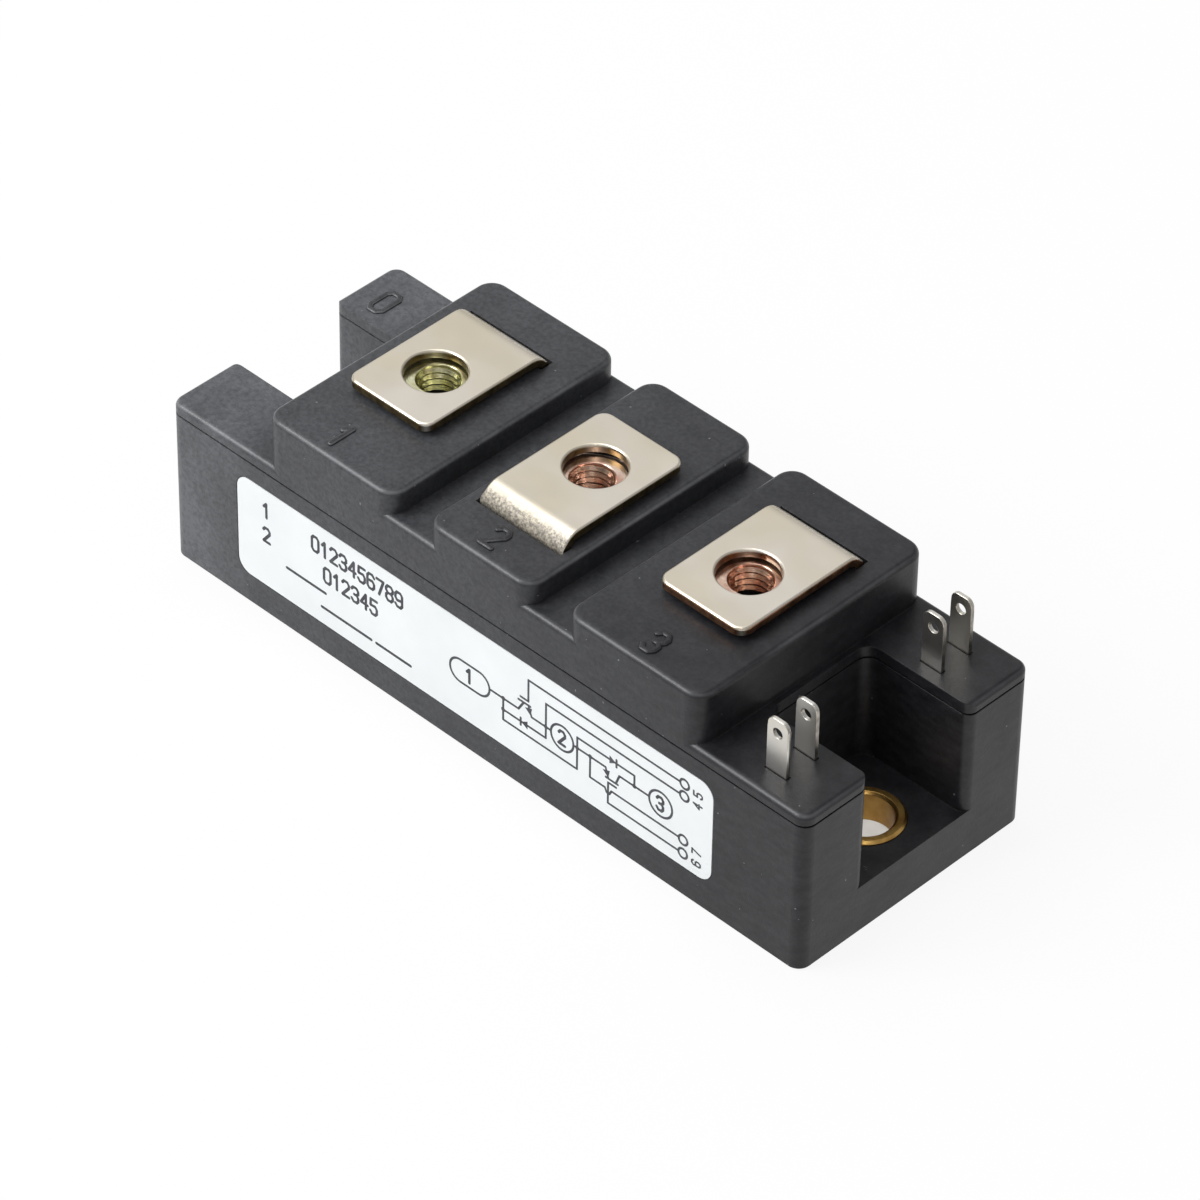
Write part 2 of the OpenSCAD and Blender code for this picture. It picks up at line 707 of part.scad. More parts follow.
// One bond wire: a round arc from a chip top at y0 to a track at y1, cut flat where it lands
module bond_wire(x, y0, y1) {
    span = abs(y1 - y0);
    middle = (y0 + y1) / 2;
    radius = bond_roundness * span;
    centre_z = track_top - sqrt(radius * radius - span * span / 4);
    chip_end = y1 > y0 ? middle - span : middle;
    difference() {
        translate([x, middle, centre_z]) rotate([0, 90, 0])
            rotate_extrude() translate([radius, 0]) circle(d = wire_diameter, $fn = 24);
        translate([x - 1, middle - 2 * span, centre_z - 2 * span])
            cube([2, 4 * span, track_top - centre_z + 2 * span]);
        translate([x - 1, chip_end, centre_z]) cube([2, span, chip_top - centre_z]);
    }
}

// A row of equal wires from one chip towards the track line at landing_y
module wire_row(at, count, landing_y) {
    start_y = at[1] - bond_shift;
    for (i = [0 : count - 1])
        bond_wire(at[0] + (i - (count - 1) / 2) * wire_pitch, start_y, landing_y);
}
module power_wires(igbt_at, diode_at, landing_y) {
    color([0.85, 0.86, 0.88]) {
        wire_row(igbt_at, igbt_wires, landing_y);
        wire_row(diode_at, diode_wires, landing_y);
    }
}
module power_wires_upper() { power_wires(igbt_upper_at, diode_upper_at, (strip_y0 + strip_y1) / 2); }
module power_wires_lower() { power_wires(igbt_lower_at, diode_lower_at, minus_inner_y - minus_landing); }
module gate_wires() {
    gate_line = track_y - gate_track / 2;
    pad = igbt_side / 2 - gate_pad_inset;
    color([0.85, 0.86, 0.88]) {
        bond_wire(igbt_upper_at[0], igbt_upper_at[1] + pad, gate_line);
        bond_wire(igbt_lower_at[0], igbt_lower_at[1] - pad, -gate_line);
    }
}

// ---------- gel ----------

module gel() {
    ledge_top = base_thickness + ledge_height;
    color([0.80, 0.85, 0.86, 0.5]) difference() {
        union() {
            translate([0, 0, base_thickness]) linear_extrude(ledge_height + hair)
                housing_outline(case_wall + ledge_width);
            translate([0, 0, ledge_top]) linear_extrude(gel_top - ledge_top)
                housing_outline(case_wall);
        }
        substrate_solder();
        back_copper();
        ceramic();
        track_plus();
        track_middle();
        track_minus();
        track_gate_upper();
        track_gate_lower();
        chip_solder();
        igbt_upper();
        igbt_lower();
        diode_upper();
        diode_lower();
        power_wires_upper();
        power_wires_lower();
        gate_wires();
        terminal_1();
        terminal_2();
        terminal_3();
        tab_4();
        tab_5();
        tab_6();
        tab_7();
    }
}

baseplate();
base_seal();
case();
lid();
sleeve_left();
sleeve_right();
terminal_1();
terminal_2();
terminal_3();
nut_1();
nut_2();
nut_3();
tab_4();
tab_5();
tab_6();
tab_7();
label();
substrate_solder();
back_copper();
ceramic();
track_plus();
track_middle();
track_minus();
track_gate_upper();
track_gate_lower();
chip_solder();
igbt_upper();
igbt_lower();
diode_upper();
diode_lower();
power_wires_upper();
power_wires_lower();
gate_wires();
gel();
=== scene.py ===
import itertools
import json
import math

import bmesh
import bpy
from mathutils import Matrix, Vector


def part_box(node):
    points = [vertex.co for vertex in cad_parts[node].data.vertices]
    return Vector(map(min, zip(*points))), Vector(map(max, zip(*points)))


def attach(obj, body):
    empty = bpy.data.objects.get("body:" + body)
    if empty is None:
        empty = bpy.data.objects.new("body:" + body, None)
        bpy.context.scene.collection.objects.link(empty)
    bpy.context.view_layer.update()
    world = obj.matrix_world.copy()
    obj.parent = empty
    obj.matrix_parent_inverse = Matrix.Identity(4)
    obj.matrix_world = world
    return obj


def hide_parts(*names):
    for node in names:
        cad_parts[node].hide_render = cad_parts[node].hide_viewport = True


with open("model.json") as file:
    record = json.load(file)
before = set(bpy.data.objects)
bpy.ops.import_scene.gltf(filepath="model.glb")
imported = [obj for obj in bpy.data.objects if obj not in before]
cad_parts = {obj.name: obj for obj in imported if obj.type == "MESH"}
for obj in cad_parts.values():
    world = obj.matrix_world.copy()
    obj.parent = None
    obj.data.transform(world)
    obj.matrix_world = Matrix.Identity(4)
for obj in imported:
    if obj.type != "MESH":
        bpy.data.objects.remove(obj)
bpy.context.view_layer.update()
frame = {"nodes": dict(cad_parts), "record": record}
nodes = frame["nodes"]

MM = 0.001
MERGE = 0.0005 * MM     # corners closer than this are one
HAIR = 0.01 * MM        # room for rounding where corners are picked by their place


# ---------- colours ----------

BLACK = (0.007, 0.007, 0.009)
CHARCOAL = (0.021, 0.021, 0.024)
# Grey of the haze on the plastic, which also paints the light that falls on the left end
HAZE_AND_PAINTED_LIGHT = (0.115, 0.120, 0.130)
# Pale colour of the rounded rims: a painted highlight
PAINTED_RIM_HIGHLIGHT = (0.30, 0.305, 0.32)
DUST = (0.30, 0.30, 0.30)
NICKEL = (0.79, 0.735, 0.65)
TIN = (0.76, 0.745, 0.72)
WARM_TINT = (0.93, 0.905, 0.82)
OLIVE_CORE = (0.23, 0.17, 0.08)
COPPER_CORE = (0.32, 0.165, 0.09)
TAB_CORE = (0.50, 0.46, 0.40)
BRASS = ((0.74, 0.46, 0.14), (0.40, 0.21, 0.055))
YELLOW_ZINC = ((0.88, 0.88, 0.60), (0.58, 0.55, 0.32))
PINK_ZINC = ((0.91, 0.73, 0.61), (0.66, 0.40, 0.31))
COPPER_ZINC = ((0.90, 0.68, 0.54), (0.58, 0.33, 0.25))


# ---------- shader helpers ----------

def new_material(name):
    """A node material, with its nodes and its links."""
    material = bpy.data.materials.new(name)
    material.use_nodes = True
    return material, material.node_tree.nodes, material.node_tree.links


def feed(links, socket, value):
    """Gives a socket a plain number or colour, or joins it to another node."""
    if isinstance(value, (int, float)):
        socket.default_value = value
    elif isinstance(value, tuple):
        socket.default_value = (*value, 1)
    else:
        links.new(value, socket)


def object_coordinates(n, links, scale=(1, 1, 1), centre=(0, 0, 0)):
    """Object coordinates moved to centre and scaled, so that a pattern keeps its real size."""
    coordinates = n.new("ShaderNodeTexCoord")
    mapping = n.new("ShaderNodeMapping")
    mapping.inputs["Location"].default_value = [-c * s for c, s in zip(centre, scale)]
    mapping.inputs["Scale"].default_value = scale
    links.new(coordinates.outputs["Object"], mapping.inputs["Vector"])
    return mapping.outputs["Vector"]


def axis_value(n, links, axis, output="Object"):
    """One coordinate of the surface point, or with output Normal one part of its direction."""
    coordinates = n.new("ShaderNodeTexCoord")
    split = n.new("ShaderNodeSeparateXYZ")
    links.new(coordinates.outputs[output], split.inputs["Vector"])
    return split.outputs[axis]


def noise(n, links, vector, scale, detail=3, roughness=0.5):
    """Cloudy value whose patches are about one metre over scale wide."""
    texture = n.new("ShaderNodeTexNoise")
    texture.inputs["Scale"].default_value = scale
    texture.inputs["Detail"].default_value = detail
    texture.inputs["Roughness"].default_value = roughness
    links.new(vector, texture.inputs["Vector"])
    return texture.outputs["Fac"]


def ramp(n, links, factor, stops):
    """Colour ramp whose stops are (place, colour) pairs."""
    colours = n.new("ShaderNodeValToRGB")
    elements = colours.color_ramp.elements
    while len(elements) < len(stops):
        elements.new(0.5)
    for element, (place, colour) in zip(elements, stops):
        element.position = place
        element.color = (*colour, 1)
    links.new(factor, colours.inputs["Fac"])
    return colours.outputs["Color"]


def span(n, links, factor, low, high, start=0.0, end=1.0):
    """Stretches a factor between start and end to run from low to high."""
    stretch = n.new("ShaderNodeMapRange")
    stretch.inputs["From Min"].default_value = start
    stretch.inputs["From Max"].default_value = end
    stretch.inputs["To Min"].default_value = low
    stretch.inputs["To Max"].default_value = high
    links.new(factor, stretch.inputs["Value"])
    return stretch.outputs["Result"]


def maths(n, links, operation, first, second=0.0):
    """Joins two values, each from another node or a plain number."""
    node = n.new("ShaderNodeMath")
    node.operation = operation
    feed(links, node.inputs[0], first)
    feed(links, node.inputs[1], second)
    return node.outputs["Value"]


def times(n, links, first, *others):
    """Multiplies values one after the other."""
    for other in others:
        first = maths(n, links, "MULTIPLY", first, other)
    return first


def blend_colours(n, links, factor, first, second):
    """Mixes two colours, each from another node or plain. The node has its sockets once for every kind."""
    mix = n.new("ShaderNodeMix")
    mix.data_type = "RGBA"
    links.new(factor, mix.inputs["Factor"])
    for name, colour in (("A", first), ("B", second)):
        feed(links, next(s for s in mix.inputs if s.name == name and s.type == "RGBA"), colour)
    return next(s for s in mix.outputs if s.type == "RGBA")


def bump(n, links, height, distance, strength=1.0, under=None):
    """Fine relief, distance deep, on top of the normal that lies under it."""
    relief = n.new("ShaderNodeBump")
    relief.inputs["Distance"].default_value = distance
    feed(links, relief.inputs["Strength"], strength)
    links.new(height, relief.inputs["Height"])
    if under is not None:
        links.new(under, relief.inputs["Normal"])
    return relief.outputs["Normal"]


def soft_edges(n, radius):
    """A small rounding of every sharp edge, as moulding and tumbling leave it."""
    rounding = n.new("ShaderNodeBevel")
    rounding.samples = 4
    rounding.inputs["Radius"].default_value = radius
    return rounding.outputs["Normal"]


# ---------- moulded plastic ----------

# Painted light: the plastic is paler at the left end and darker to the right, partly a grey haze and partly
# painted lamp light that falls off to the right
HAZE_AND_LIGHT_LEFT, HAZE_AND_LIGHT_RIGHT = -47 * MM, 34 * MM
# How the haze and the painted light thin out from the left place to the right one
HAZE_AND_LIGHT_ALONG = [(0.0, 1.0), (0.08, 0.90), (0.16, 0.48), (0.5, 0.31), (0.85, 0.11), (1.0, 0.0)]


def haze_and_light_along(n, links):
    """Share of the haze and the painted light by the place along the housing."""
    along = span(n, links, axis_value(n, links, "X"), 0.0, 1.0, HAZE_AND_LIGHT_LEFT, HAZE_AND_LIGHT_RIGHT)
    return ramp(n, links, along, [(place, (share,) * 3) for place, share in HAZE_AND_LIGHT_ALONG])


def rounded_rim(n, links):
    """1 on the rounded rims of upper faces, 0 on flat tops and on walls."""
    rise = axis_value(n, links, "Z", "Normal")
    return times(n, links, span(n, links, rise, 0.0, 1.0, 0.35, 0.60),
                 span(n, links, rise, 1.0, 0.0, 0.75, 0.93))


def moulded_plastic(name, edge_radius, haze_and_light_share=0.84):
    """Glass-filled moulding compound: near black, with a grey haze and painted light that are stronger at the
    left end and fall off to the right, and painted highlights on the rounded rims.
    """
    material, n, links = new_material(name)
    shader = n["Principled BSDF"]
    place = object_coordinates(n, links)
    cloud = noise(n, links, place, 85, detail=5, roughness=0.6)
    streaks = noise(n, links, object_coordinates(n, links, (1, 1, 2.5)), 420)
    mottle = noise(n, links, place, 1900, roughness=0.7)
    body = ramp(n, links, times(n, links, streaks, span(n, links, mottle, 0.7, 1.3, 0.3, 0.7)),
                [(0.25, BLACK), (0.75, CHARCOAL)])
    left = haze_and_light_along(n, links)
    # Painted light: the grey haze is mixed in strongly at the left end and less to the right
    haze_and_light = times(n, links, left, span(n, links, cloud, 0.60, 1.30, 0.3, 0.7),
                  span(n, links, mottle, 0.72, 1.36, 0.35, 0.65), haze_and_light_share)
    # Painted highlight: the rounded rims of upper faces are paler, more so at the left end where the lamp
    # light is painted stronger
    rim = rounded_rim(n, links)
    rim_highlight_share = times(n, links, rim, span(n, links, cloud, 0.15, 0.75, 0.35, 0.65),
                   span(n, links, left, 0.35, 1.0))
    edged = blend_colours(n, links, rim_highlight_share, blend_colours(n, links, haze_and_light, body, HAZE_AND_PAINTED_LIGHT), PAINTED_RIM_HIGHLIGHT)
    specks = span(n, links, noise(n, links, place, 1500, detail=1), 0.0, 0.5, 0.79, 0.81)
    links.new(blend_colours(n, links, specks, edged, DUST), shader.inputs["Base Color"])
    shader.inputs["Specular IOR Level"].default_value = 0.36
    rough = span(n, links, cloud, 0.36, 0.47, 0.3, 0.7)
    links.new(maths(n, links, "SUBTRACT", rough, times(n, links, rim, 0.10)), shader.inputs["Roughness"])
    grain = noise(n, links, place, 4200, detail=2)
    links.new(bump(n, links, grain, 0.03 * MM, 0.45, soft_edges(n, edge_radius)), shader.inputs["Normal"])
    return material


# ---------- metals, label, silicone ----------

BEND_START = 7.9 * MM       # distance of the bend from the middle line of the module


def plated_sheet(name, face, core, radius, free_side=0, bend_start=-1.0, worn_bend=0.0):
    """Plated sheet metal: rolled faces keep the plating, sheared edges and the hole show the core metal.

    free_side is the way the free end looks along Y. From bend_start on, away from it, the faces that
    look along Y are rolled ones too, and worn_bend is how grainy they are."""
    material, n, links = new_material(name)
    shader = n["Principled BSDF"]
    place = object_coordinates(n, links)
    cloud = noise(n, links, place, 240)
    warm = tuple(c * share for c, share in zip(face, WARM_TINT))
    plate = ramp(n, links, noise(n, links, place, 95, detail=2), [(0.36, warm), (0.62, face)])
    sideways = maths(n, links, "ABSOLUTE", axis_value(n, links, "X", "Normal"))
    endways = maths(n, links, "ABSOLUTE", axis_value(n, links, "Y", "Normal"))
    past_hole = times(n, links, axis_value(n, links, "Y"), -free_side)
    in_bend = maths(n, links, "GREATER_THAN", past_hole, bend_start)
    before_bend = maths(n, links, "SUBTRACT", 1.0, in_bend)
    cut = maths(n, links, "MAXIMUM", sideways, times(n, links, endways, before_bend))
    stain = noise(n, links, place, 900)
    sheared = ramp(n, links, stain, [(0.35, tuple(c * 0.45 for c in core)), (0.65, core)])
    bent = times(n, links, in_bend, span(n, links, endways, 0.0, 1.0, 0.32, 0.68))
    speckle = noise(n, links, place, 3300, detail=2, roughness=0.6)
    worn = times(n, links, bent, span(n, links, speckle, 0.3 * worn_bend, worn_bend, 0.34, 0.62))
    grained = blend_colours(n, links, worn, plate, tuple(c * 0.34 for c in face))
    colour = blend_colours(n, links, span(n, links, cut, 0.0, 1.0, 0.75, 0.93), grained, sheared)
    links.new(colour, shader.inputs["Base Color"])
    shader.inputs["Metallic"].default_value = 1.0
    rough = span(n, links, cloud, 0.30, 0.40, 0.3, 0.7)
    links.new(maths(n, links, "ADD", rough, times(n, links, bent, 0.30 * worn_bend)),
              shader.inputs["Roughness"])
    waves = bump(n, links, noise(n, links, place, 130, detail=1), 0.16 * MM, 0.5, soft_edges(n, radius))
    rolled = noise(n, links, object_coordinates(n, links, (1, 0.07, 1)), 2600, detail=2)
    shallow = bump(n, links, rolled, 0.004 * MM, 0.4, waves)
    grain_strength = span(n, links, bent, 0.05, 0.05 + 0.4 * worn_bend)
    links.new(bump(n, links, speckle, 0.02 * MM, grain_strength, shallow), shader.inputs["Normal"])
    return material


def turned_metal(name, bright, dull, centre, roughness, painted_wall_shade=0.0):
    """Turned or cold-formed metal with fine rings round its own axis and a stained plating.

    painted_wall_shade is how far painted shade darkens the upright walls, such as the inside of a bore."""
    material, n, links = new_material(name)
    shader = n["Principled BSDF"]
    place = object_coordinates(n, links, centre=centre)
    rings = n.new("ShaderNodeTexWave")
    rings.wave_type = "RINGS"
    rings.rings_direction = "Z"
    rings.inputs["Scale"].default_value = 1400
    rings.inputs["Distortion"].default_value = 1.5
    links.new(place, rings.inputs["Vector"])
    stain = noise(n, links, place, 420, detail=4, roughness=0.65)
    plating = ramp(n, links, stain, [(0.38, dull), (0.62, bright)])
    # Painted shade: the upright walls, such as the inside of a sleeve's bore, are darker than the flat ends
    rise = maths(n, links, "ABSOLUTE", axis_value(n, links, "Z", "Normal"))
    shade = span(n, links, rise, painted_wall_shade, 0.0, 0.1, 0.5)
    darkened = blend_colours(n, links, shade, plating, tuple(c * 0.5 for c in dull))
    links.new(darkened, shader.inputs["Base Color"])
    shader.inputs["Metallic"].default_value = 1.0
    links.new(span(n, links, stain, roughness * 1.3, roughness * 0.8), shader.inputs["Roughness"])
    height = bump(n, links, rings.outputs["Fac"], 0.004 * MM, 0.4, soft_edges(n, 0.1 * MM))
    links.new(height, shader.inputs["Normal"])
    return material


def cloudy(name, dark, light, metallic=0.0, roughness=0.5, scale=400, depth=0.01 * MM):
    """Plain surface with slight colour variation and a fine grain."""
    material, n, links = new_material(name)
    shader = n["Principled BSDF"]
    place = object_coordinates(n, links)
    stain = noise(n, links, place, scale)
    links.new(ramp(n, links, stain, [(0.3, dark), (0.7, light)]), shader.inputs["Base Color"])
    shader.inputs["Metallic"].default_value = metallic
    shader.inputs["Roughness"].default_value = roughness
    links.new(bump(n, links, noise(n, links, place, scale * 8), depth, 0.4), shader.inputs["Normal"])
    return material


def clear_gel(name):
    """Clear soft silicone, slightly uneven."""
    material, n, links = new_material(name)
    shader = n["Principled BSDF"]
    shader.inputs["Base Color"].default_value = (0.86, 0.90, 0.90, 1)
    shader.inputs["Transmission Weight"].default_value = 0.9
    shader.inputs["IOR"].default_value = 1.41
    place = object_coordinates(n, links)
    links.new(span(n, links, noise(n, links, place, 300), 0.05, 0.15), shader.inputs["Roughness"])
    return material


# ---------- pieces ----------

def finish_piece(bm, name, material, stands_for=None, smooth_angle=35):
    """Makes a piece of a bmesh: smooth where it is round, sharp where it turns, riding on the module."""
    mesh = bpy.data.meshes.new(name)
    bm.to_mesh(mesh)
    bm.free()
    for face in mesh.polygons:
        face.use_smooth = True
    mesh.set_sharp_from_angle(angle=math.radians(smooth_angle))
    piece = bpy.data.objects.new(name, mesh)
    mesh.materials.append(material)
    bpy.context.scene.collection.objects.link(piece)
    shading = piece.modifiers.new("flat_faces_first", "WEIGHTED_NORMAL")
    shading.keep_sharp = True
    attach(piece, "root")
    if stands_for:
        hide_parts(stands_for)
    return piece


def dress(material, *names):
    """Gives CAD nodes their finish."""
    for name in names:
        nodes[name].data.materials.clear()
        nodes[name].data.materials.append(material)


def merged_copy(node):
    """The mesh of a CAD node with its loose triangles joined and its flat faces made whole."""
    bm = bmesh.new()
    bm.from_mesh(nodes[node].data)
    bmesh.ops.remove_doubles(bm, verts=bm.verts, dist=MERGE)
    bmesh.ops.dissolve_limit(bm, angle_limit=math.radians(1), verts=bm.verts, edges=bm.edges)
    return bm


def round_edges(bm, width, wanted):
    """Rounds the sharp edges that the test wants, as stamping and tumbling leave them."""
    sharp = [e for e in bm.edges if len(e.link_faces) == 2
             and e.calc_face_angle(0) > math.radians(50) and wanted(e)]
    bmesh.ops.bevel(bm, geom=sharp, affect="EDGES", offset=width, offset_type="OFFSET", segments=3,
                    profile=0.5, material=-1, clamp_overlap=False)
    bmesh.ops.remove_doubles(bm, verts=bm.verts, dist=MERGE)


# ---------- terminals and tabs ----------

PUNCH_ROUNDING = 0.32 * MM
PUNCH_DEPTH = 1.2 * MM      # the sheet and a little more
TAB_ROUNDING = 0.08 * MM
TAB_BLADE = 7 * MM


def stamped_terminal(node, material):
    """Terminal whose visible rim and hole are rounded by the punch."""
    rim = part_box(node)[1].z - PUNCH_DEPTH
    bm = merged_copy(node)
    round_edges(bm, PUNCH_ROUNDING, lambda e: all(v.co.z > rim for v in e.verts)
                and any(f.normal.z > 0.25 for f in e.link_faces))
    finish_piece(bm, node + "_plated", material, node)


def stamped_tab(node, material):
    """Signal tab whose blade has its edges eased by the punch."""
    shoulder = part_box(node)[1].z - TAB_BLADE
    bm = merged_copy(node)
    round_edges(bm, TAB_ROUNDING, lambda e: all(v.co.z > shoulder for v in e.verts))
    finish_piece(bm, node + "_tinned", material, node)


# ---------- nuts ----------

THREAD_PITCH = 0.8 * MM
THREAD_RADIUS = 2.5 * MM    # of the bottom of the groove
LEAD_IN = 0.5 * MM          # how much wider than the bore the countersinks start
END_TRIM = 0.05 * MM        # how far inside the nut's faces the groove is cut off
STEPS_A_TURN = 48


def from_axis(corner, centre):
    """Distance of a corner from a nut's axis."""
    return math.hypot(corner.co.x - centre.x, corner.co.y - centre.y)


def within(items, centre, radius):
    """The edges or faces that lie within a radius of a nut's axis."""
    return [item for item in items if all(from_axis(v, centre) < radius for v in item.verts)]


def wind_thread(bm, centre, core, bottom, height):
    """Adds a helical groove that runs past both ends of the nut."""
    turns = int(height / THREAD_PITCH) + 3
    start = bottom - 1.5 * THREAD_PITCH
    profile = [(0.0, core), (0.25, core), (0.56, THREAD_RADIUS), (0.69, THREAD_RADIUS), (1.0, core)]
    corners = [bm.verts.new((centre.x + r, centre.y, start + share * THREAD_PITCH)) for share, r in profile]
    line = [bm.edges.new(pair) for pair in zip(corners, corners[1:])]
    bmesh.ops.spin(bm, geom=corners + line, cent=centre, axis=(0, 0, 1), angle=2 * math.pi * turns,
                   dvec=(0, 0, THREAD_PITCH / STEPS_A_TURN), steps=STEPS_A_TURN * turns,
                   use_merge=False, use_duplicate=False)
    helix = [v for v in bm.verts if from_axis(v, centre) < THREAD_RADIUS + HAIR]
    bmesh.ops.remove_doubles(bm, verts=helix, dist=0.002 * MM)


def trim_thread(bm, centre, level, away):
    """Cuts off what the groove has past a level."""
    reach = THREAD_RADIUS + HAIR
    part = [v for v in bm.verts if from_axis(v, centre) < reach]
    part += within(bm.edges, centre, reach) + within(bm.faces, centre, reach)
    bmesh.ops.bisect_plane(bm, geom=part, plane_co=(0, 0, level), plane_no=away, clear_outer=True)


def countersink(bm, centre, mouth, bottom, top):
    """Opens the ends of the groove to a cone that is as wide as the mouth at the nut's faces."""
    for v in bm.verts:
        reach = from_axis(v, centre)
        cone = mouth - min(v.co.z - bottom, top - v.co.z)
        if reach < THREAD_RADIUS + HAIR and cone > reach:
            v.co.x = centre.x + (v.co.x - centre.x) * cone / reach
            v.co.y = centre.y + (v.co.y - centre.y) * cone / reach


def threaded_nut(node, material):
    """Nut with its real thread: a helical groove between two countersinks."""
    low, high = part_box(node)
    centre = (low + high) / 2
    thread = next(m for m in frame["record"]["mounts"] if m["name"] == "terminal_1_thread")
    core = thread["dims"]["r_mm"] * MM
    mouth = core + LEAD_IN
    bm = merged_copy(node)
    bmesh.ops.delete(bm, geom=within(bm.faces, centre, mouth + HAIR), context="FACES")
    wind_thread(bm, centre, core, low.z, high.z - low.z)
    trim_thread(bm, centre, low.z + END_TRIM, (0, 0, -1))
    trim_thread(bm, centre, high.z - END_TRIM, (0, 0, 1))
    countersink(bm, centre, mouth, low.z, high.z)
    open_edges = [e for e in bm.edges if e.is_boundary]
    for upper in (False, True):
        bmesh.ops.bridge_loops(bm, edges=[e for e in open_edges if (e.verts[0].co.z > centre.z) == upper])
    bmesh.ops.recalc_face_normals(bm, faces=bm.faces)
    finish_piece(bm, node + "_threaded", material, node, smooth_angle=40)


# ---------- strokes for print and moulded numbers, all in millimetres ----------

# Strokes of the plain numbers, on a grid four wide and six high
GRID_HEIGHT = 6
SLIMNESS = 0.75         # of a grid cell, its width over its height
DIGITS = {
    "0": [[(1, 0), (3, 0), (4, 1), (4, 5), (3, 6), (1, 6), (0, 5), (0, 1), (1, 0)]],
    "1": [[(0.6, 4.6), (2.2, 6), (2.2, 0)]],
    "2": [[(0, 5), (1, 6), (3, 6), (4, 5), (4, 4), (0, 0), (4, 0)]],
    "3": [[(0, 5), (1, 6), (3, 6), (4, 5), (4, 4), (3, 3.1), (4, 2.2), (4, 1), (3, 0), (1, 0), (0, 1)],
          [(1.6, 3.1), (3, 3.1)]],
    "4": [[(3, 0), (3, 6), (0, 2), (4, 2)]],
    "5": [[(4, 6), (0.4, 6), (0.2, 3.4), (3, 3.6), (4, 2.6), (4, 1), (3, 0), (1, 0), (0, 1)]],
    "6": [[(4, 5), (3, 6), (1, 6), (0, 5), (0, 1), (1, 0), (3, 0), (4, 1), (4, 2.4), (3, 3.4), (0, 3.2)]],
    "7": [[(0, 6), (4, 6), (1.4, 0)]],
    "8": [[(3, 3.1), (1, 3.1), (0, 4.1), (0, 5), (1, 6), (3, 6), (4, 5), (4, 4.1), (3, 3.1), (4, 2.1), (4, 1),
           (3, 0), (1, 0), (0, 1), (0, 2.1), (1, 3.1)]],
    "9": [[(4, 3), (1, 2.6), (0, 3.6), (0, 5), (1, 6), (3, 6), (4, 5), (4, 1), (3, 0), (1, 0), (0, 1)]],
}
# Each mark is a hair lower than the one before, so that where two overlap no faces lie in one plane
HEIGHTS = itertools.cycle([1 - 0.006 * step for step in range(31)])


def hair_lower(thickness):
    """The thickness of the next mark."""
    return thickness * next(HEIGHTS)


def bar(bm, start, end, width, thickness, ridge=False):
    """Adds one stroke with round ends: a disc, or a ball for a rounded ridge, drawn out to its length.

    The disc and the ball are turned so that no corner lies on their middle line."""
    start, end = Vector((*start, 0)), Vector((*end, 0))
    along = end - start
    size = Matrix.Diagonal((width, width, hair_lower(thickness), 1))
    if ridge:
        verts = bmesh.ops.create_uvsphere(bm, u_segments=12, v_segments=7, radius=0.5, matrix=size @
                                          Matrix.Rotation(math.pi / 2, 4, "Y"))["verts"]
    else:
        verts = bmesh.ops.create_cone(bm, cap_ends=True, segments=12, radius1=0.5, radius2=0.5, depth=1,
                                      matrix=size @ Matrix.Rotation(math.pi / 12, 4, "Z"))["verts"]
    bmesh.ops.translate(bm, verts=[v for v in verts if v.co.x > 0], vec=(along.length, 0, 0))
    turn = Matrix.Rotation(math.atan2(along.y, along.x), 4, "Z")
    bmesh.ops.transform(bm, verts=verts, matrix=Matrix.Translation(start) @ turn)


def path(bm, points, width, thickness, ridge=False):
    """Adds strokes from point to point."""
    for start, end in zip(points, points[1:]):
        bar(bm, start, end, width, thickness, ridge)


def number(bm, text, corner, height, pitch, width, thickness, ridge=False, upward=False):
    """Writes plain numbers from their lower left corner; upward turns the line a quarter turn."""
    cell = height / GRID_HEIGHT
    for place, digit in enumerate(text):
        for line in DIGITS[digit]:
            spots = [(place * pitch + u * cell * SLIMNESS, v * cell) for u, v in line]
            if upward:
                spots = [(-v, u) for u, v in spots]
            path(bm, [(corner[0] + u, corner[1] + v) for u, v in spots], width, thickness, ridge)


def band_section(bm, middle, across, width, thickness):
    """Adds the section of a flat band, with its width along across."""
    u, v = Vector(across) * width / 2, Vector((0, 0, hair_lower(thickness) / 2))
    corners = [bm.verts.new(Vector(middle) + offset) for offset in (-u - v, u - v, u + v, v - u)]
    return corners, [bm.edges.new(pair) for pair in zip(corners, corners[1:] + corners[:1])]


def ring(bm, centre, radius, width, thickness):
    """Adds a flat ring, turned from its own section."""
    x, y = centre
    section, edges = band_section(bm, (x + radius, y, 0), (1, 0, 0), width, thickness)
    bmesh.ops.spin(bm, geom=section + edges, cent=(x, y, 0), axis=(0, 0, 1), angle=2 * math.pi, steps=40,
                   use_merge=True, use_duplicate=False)


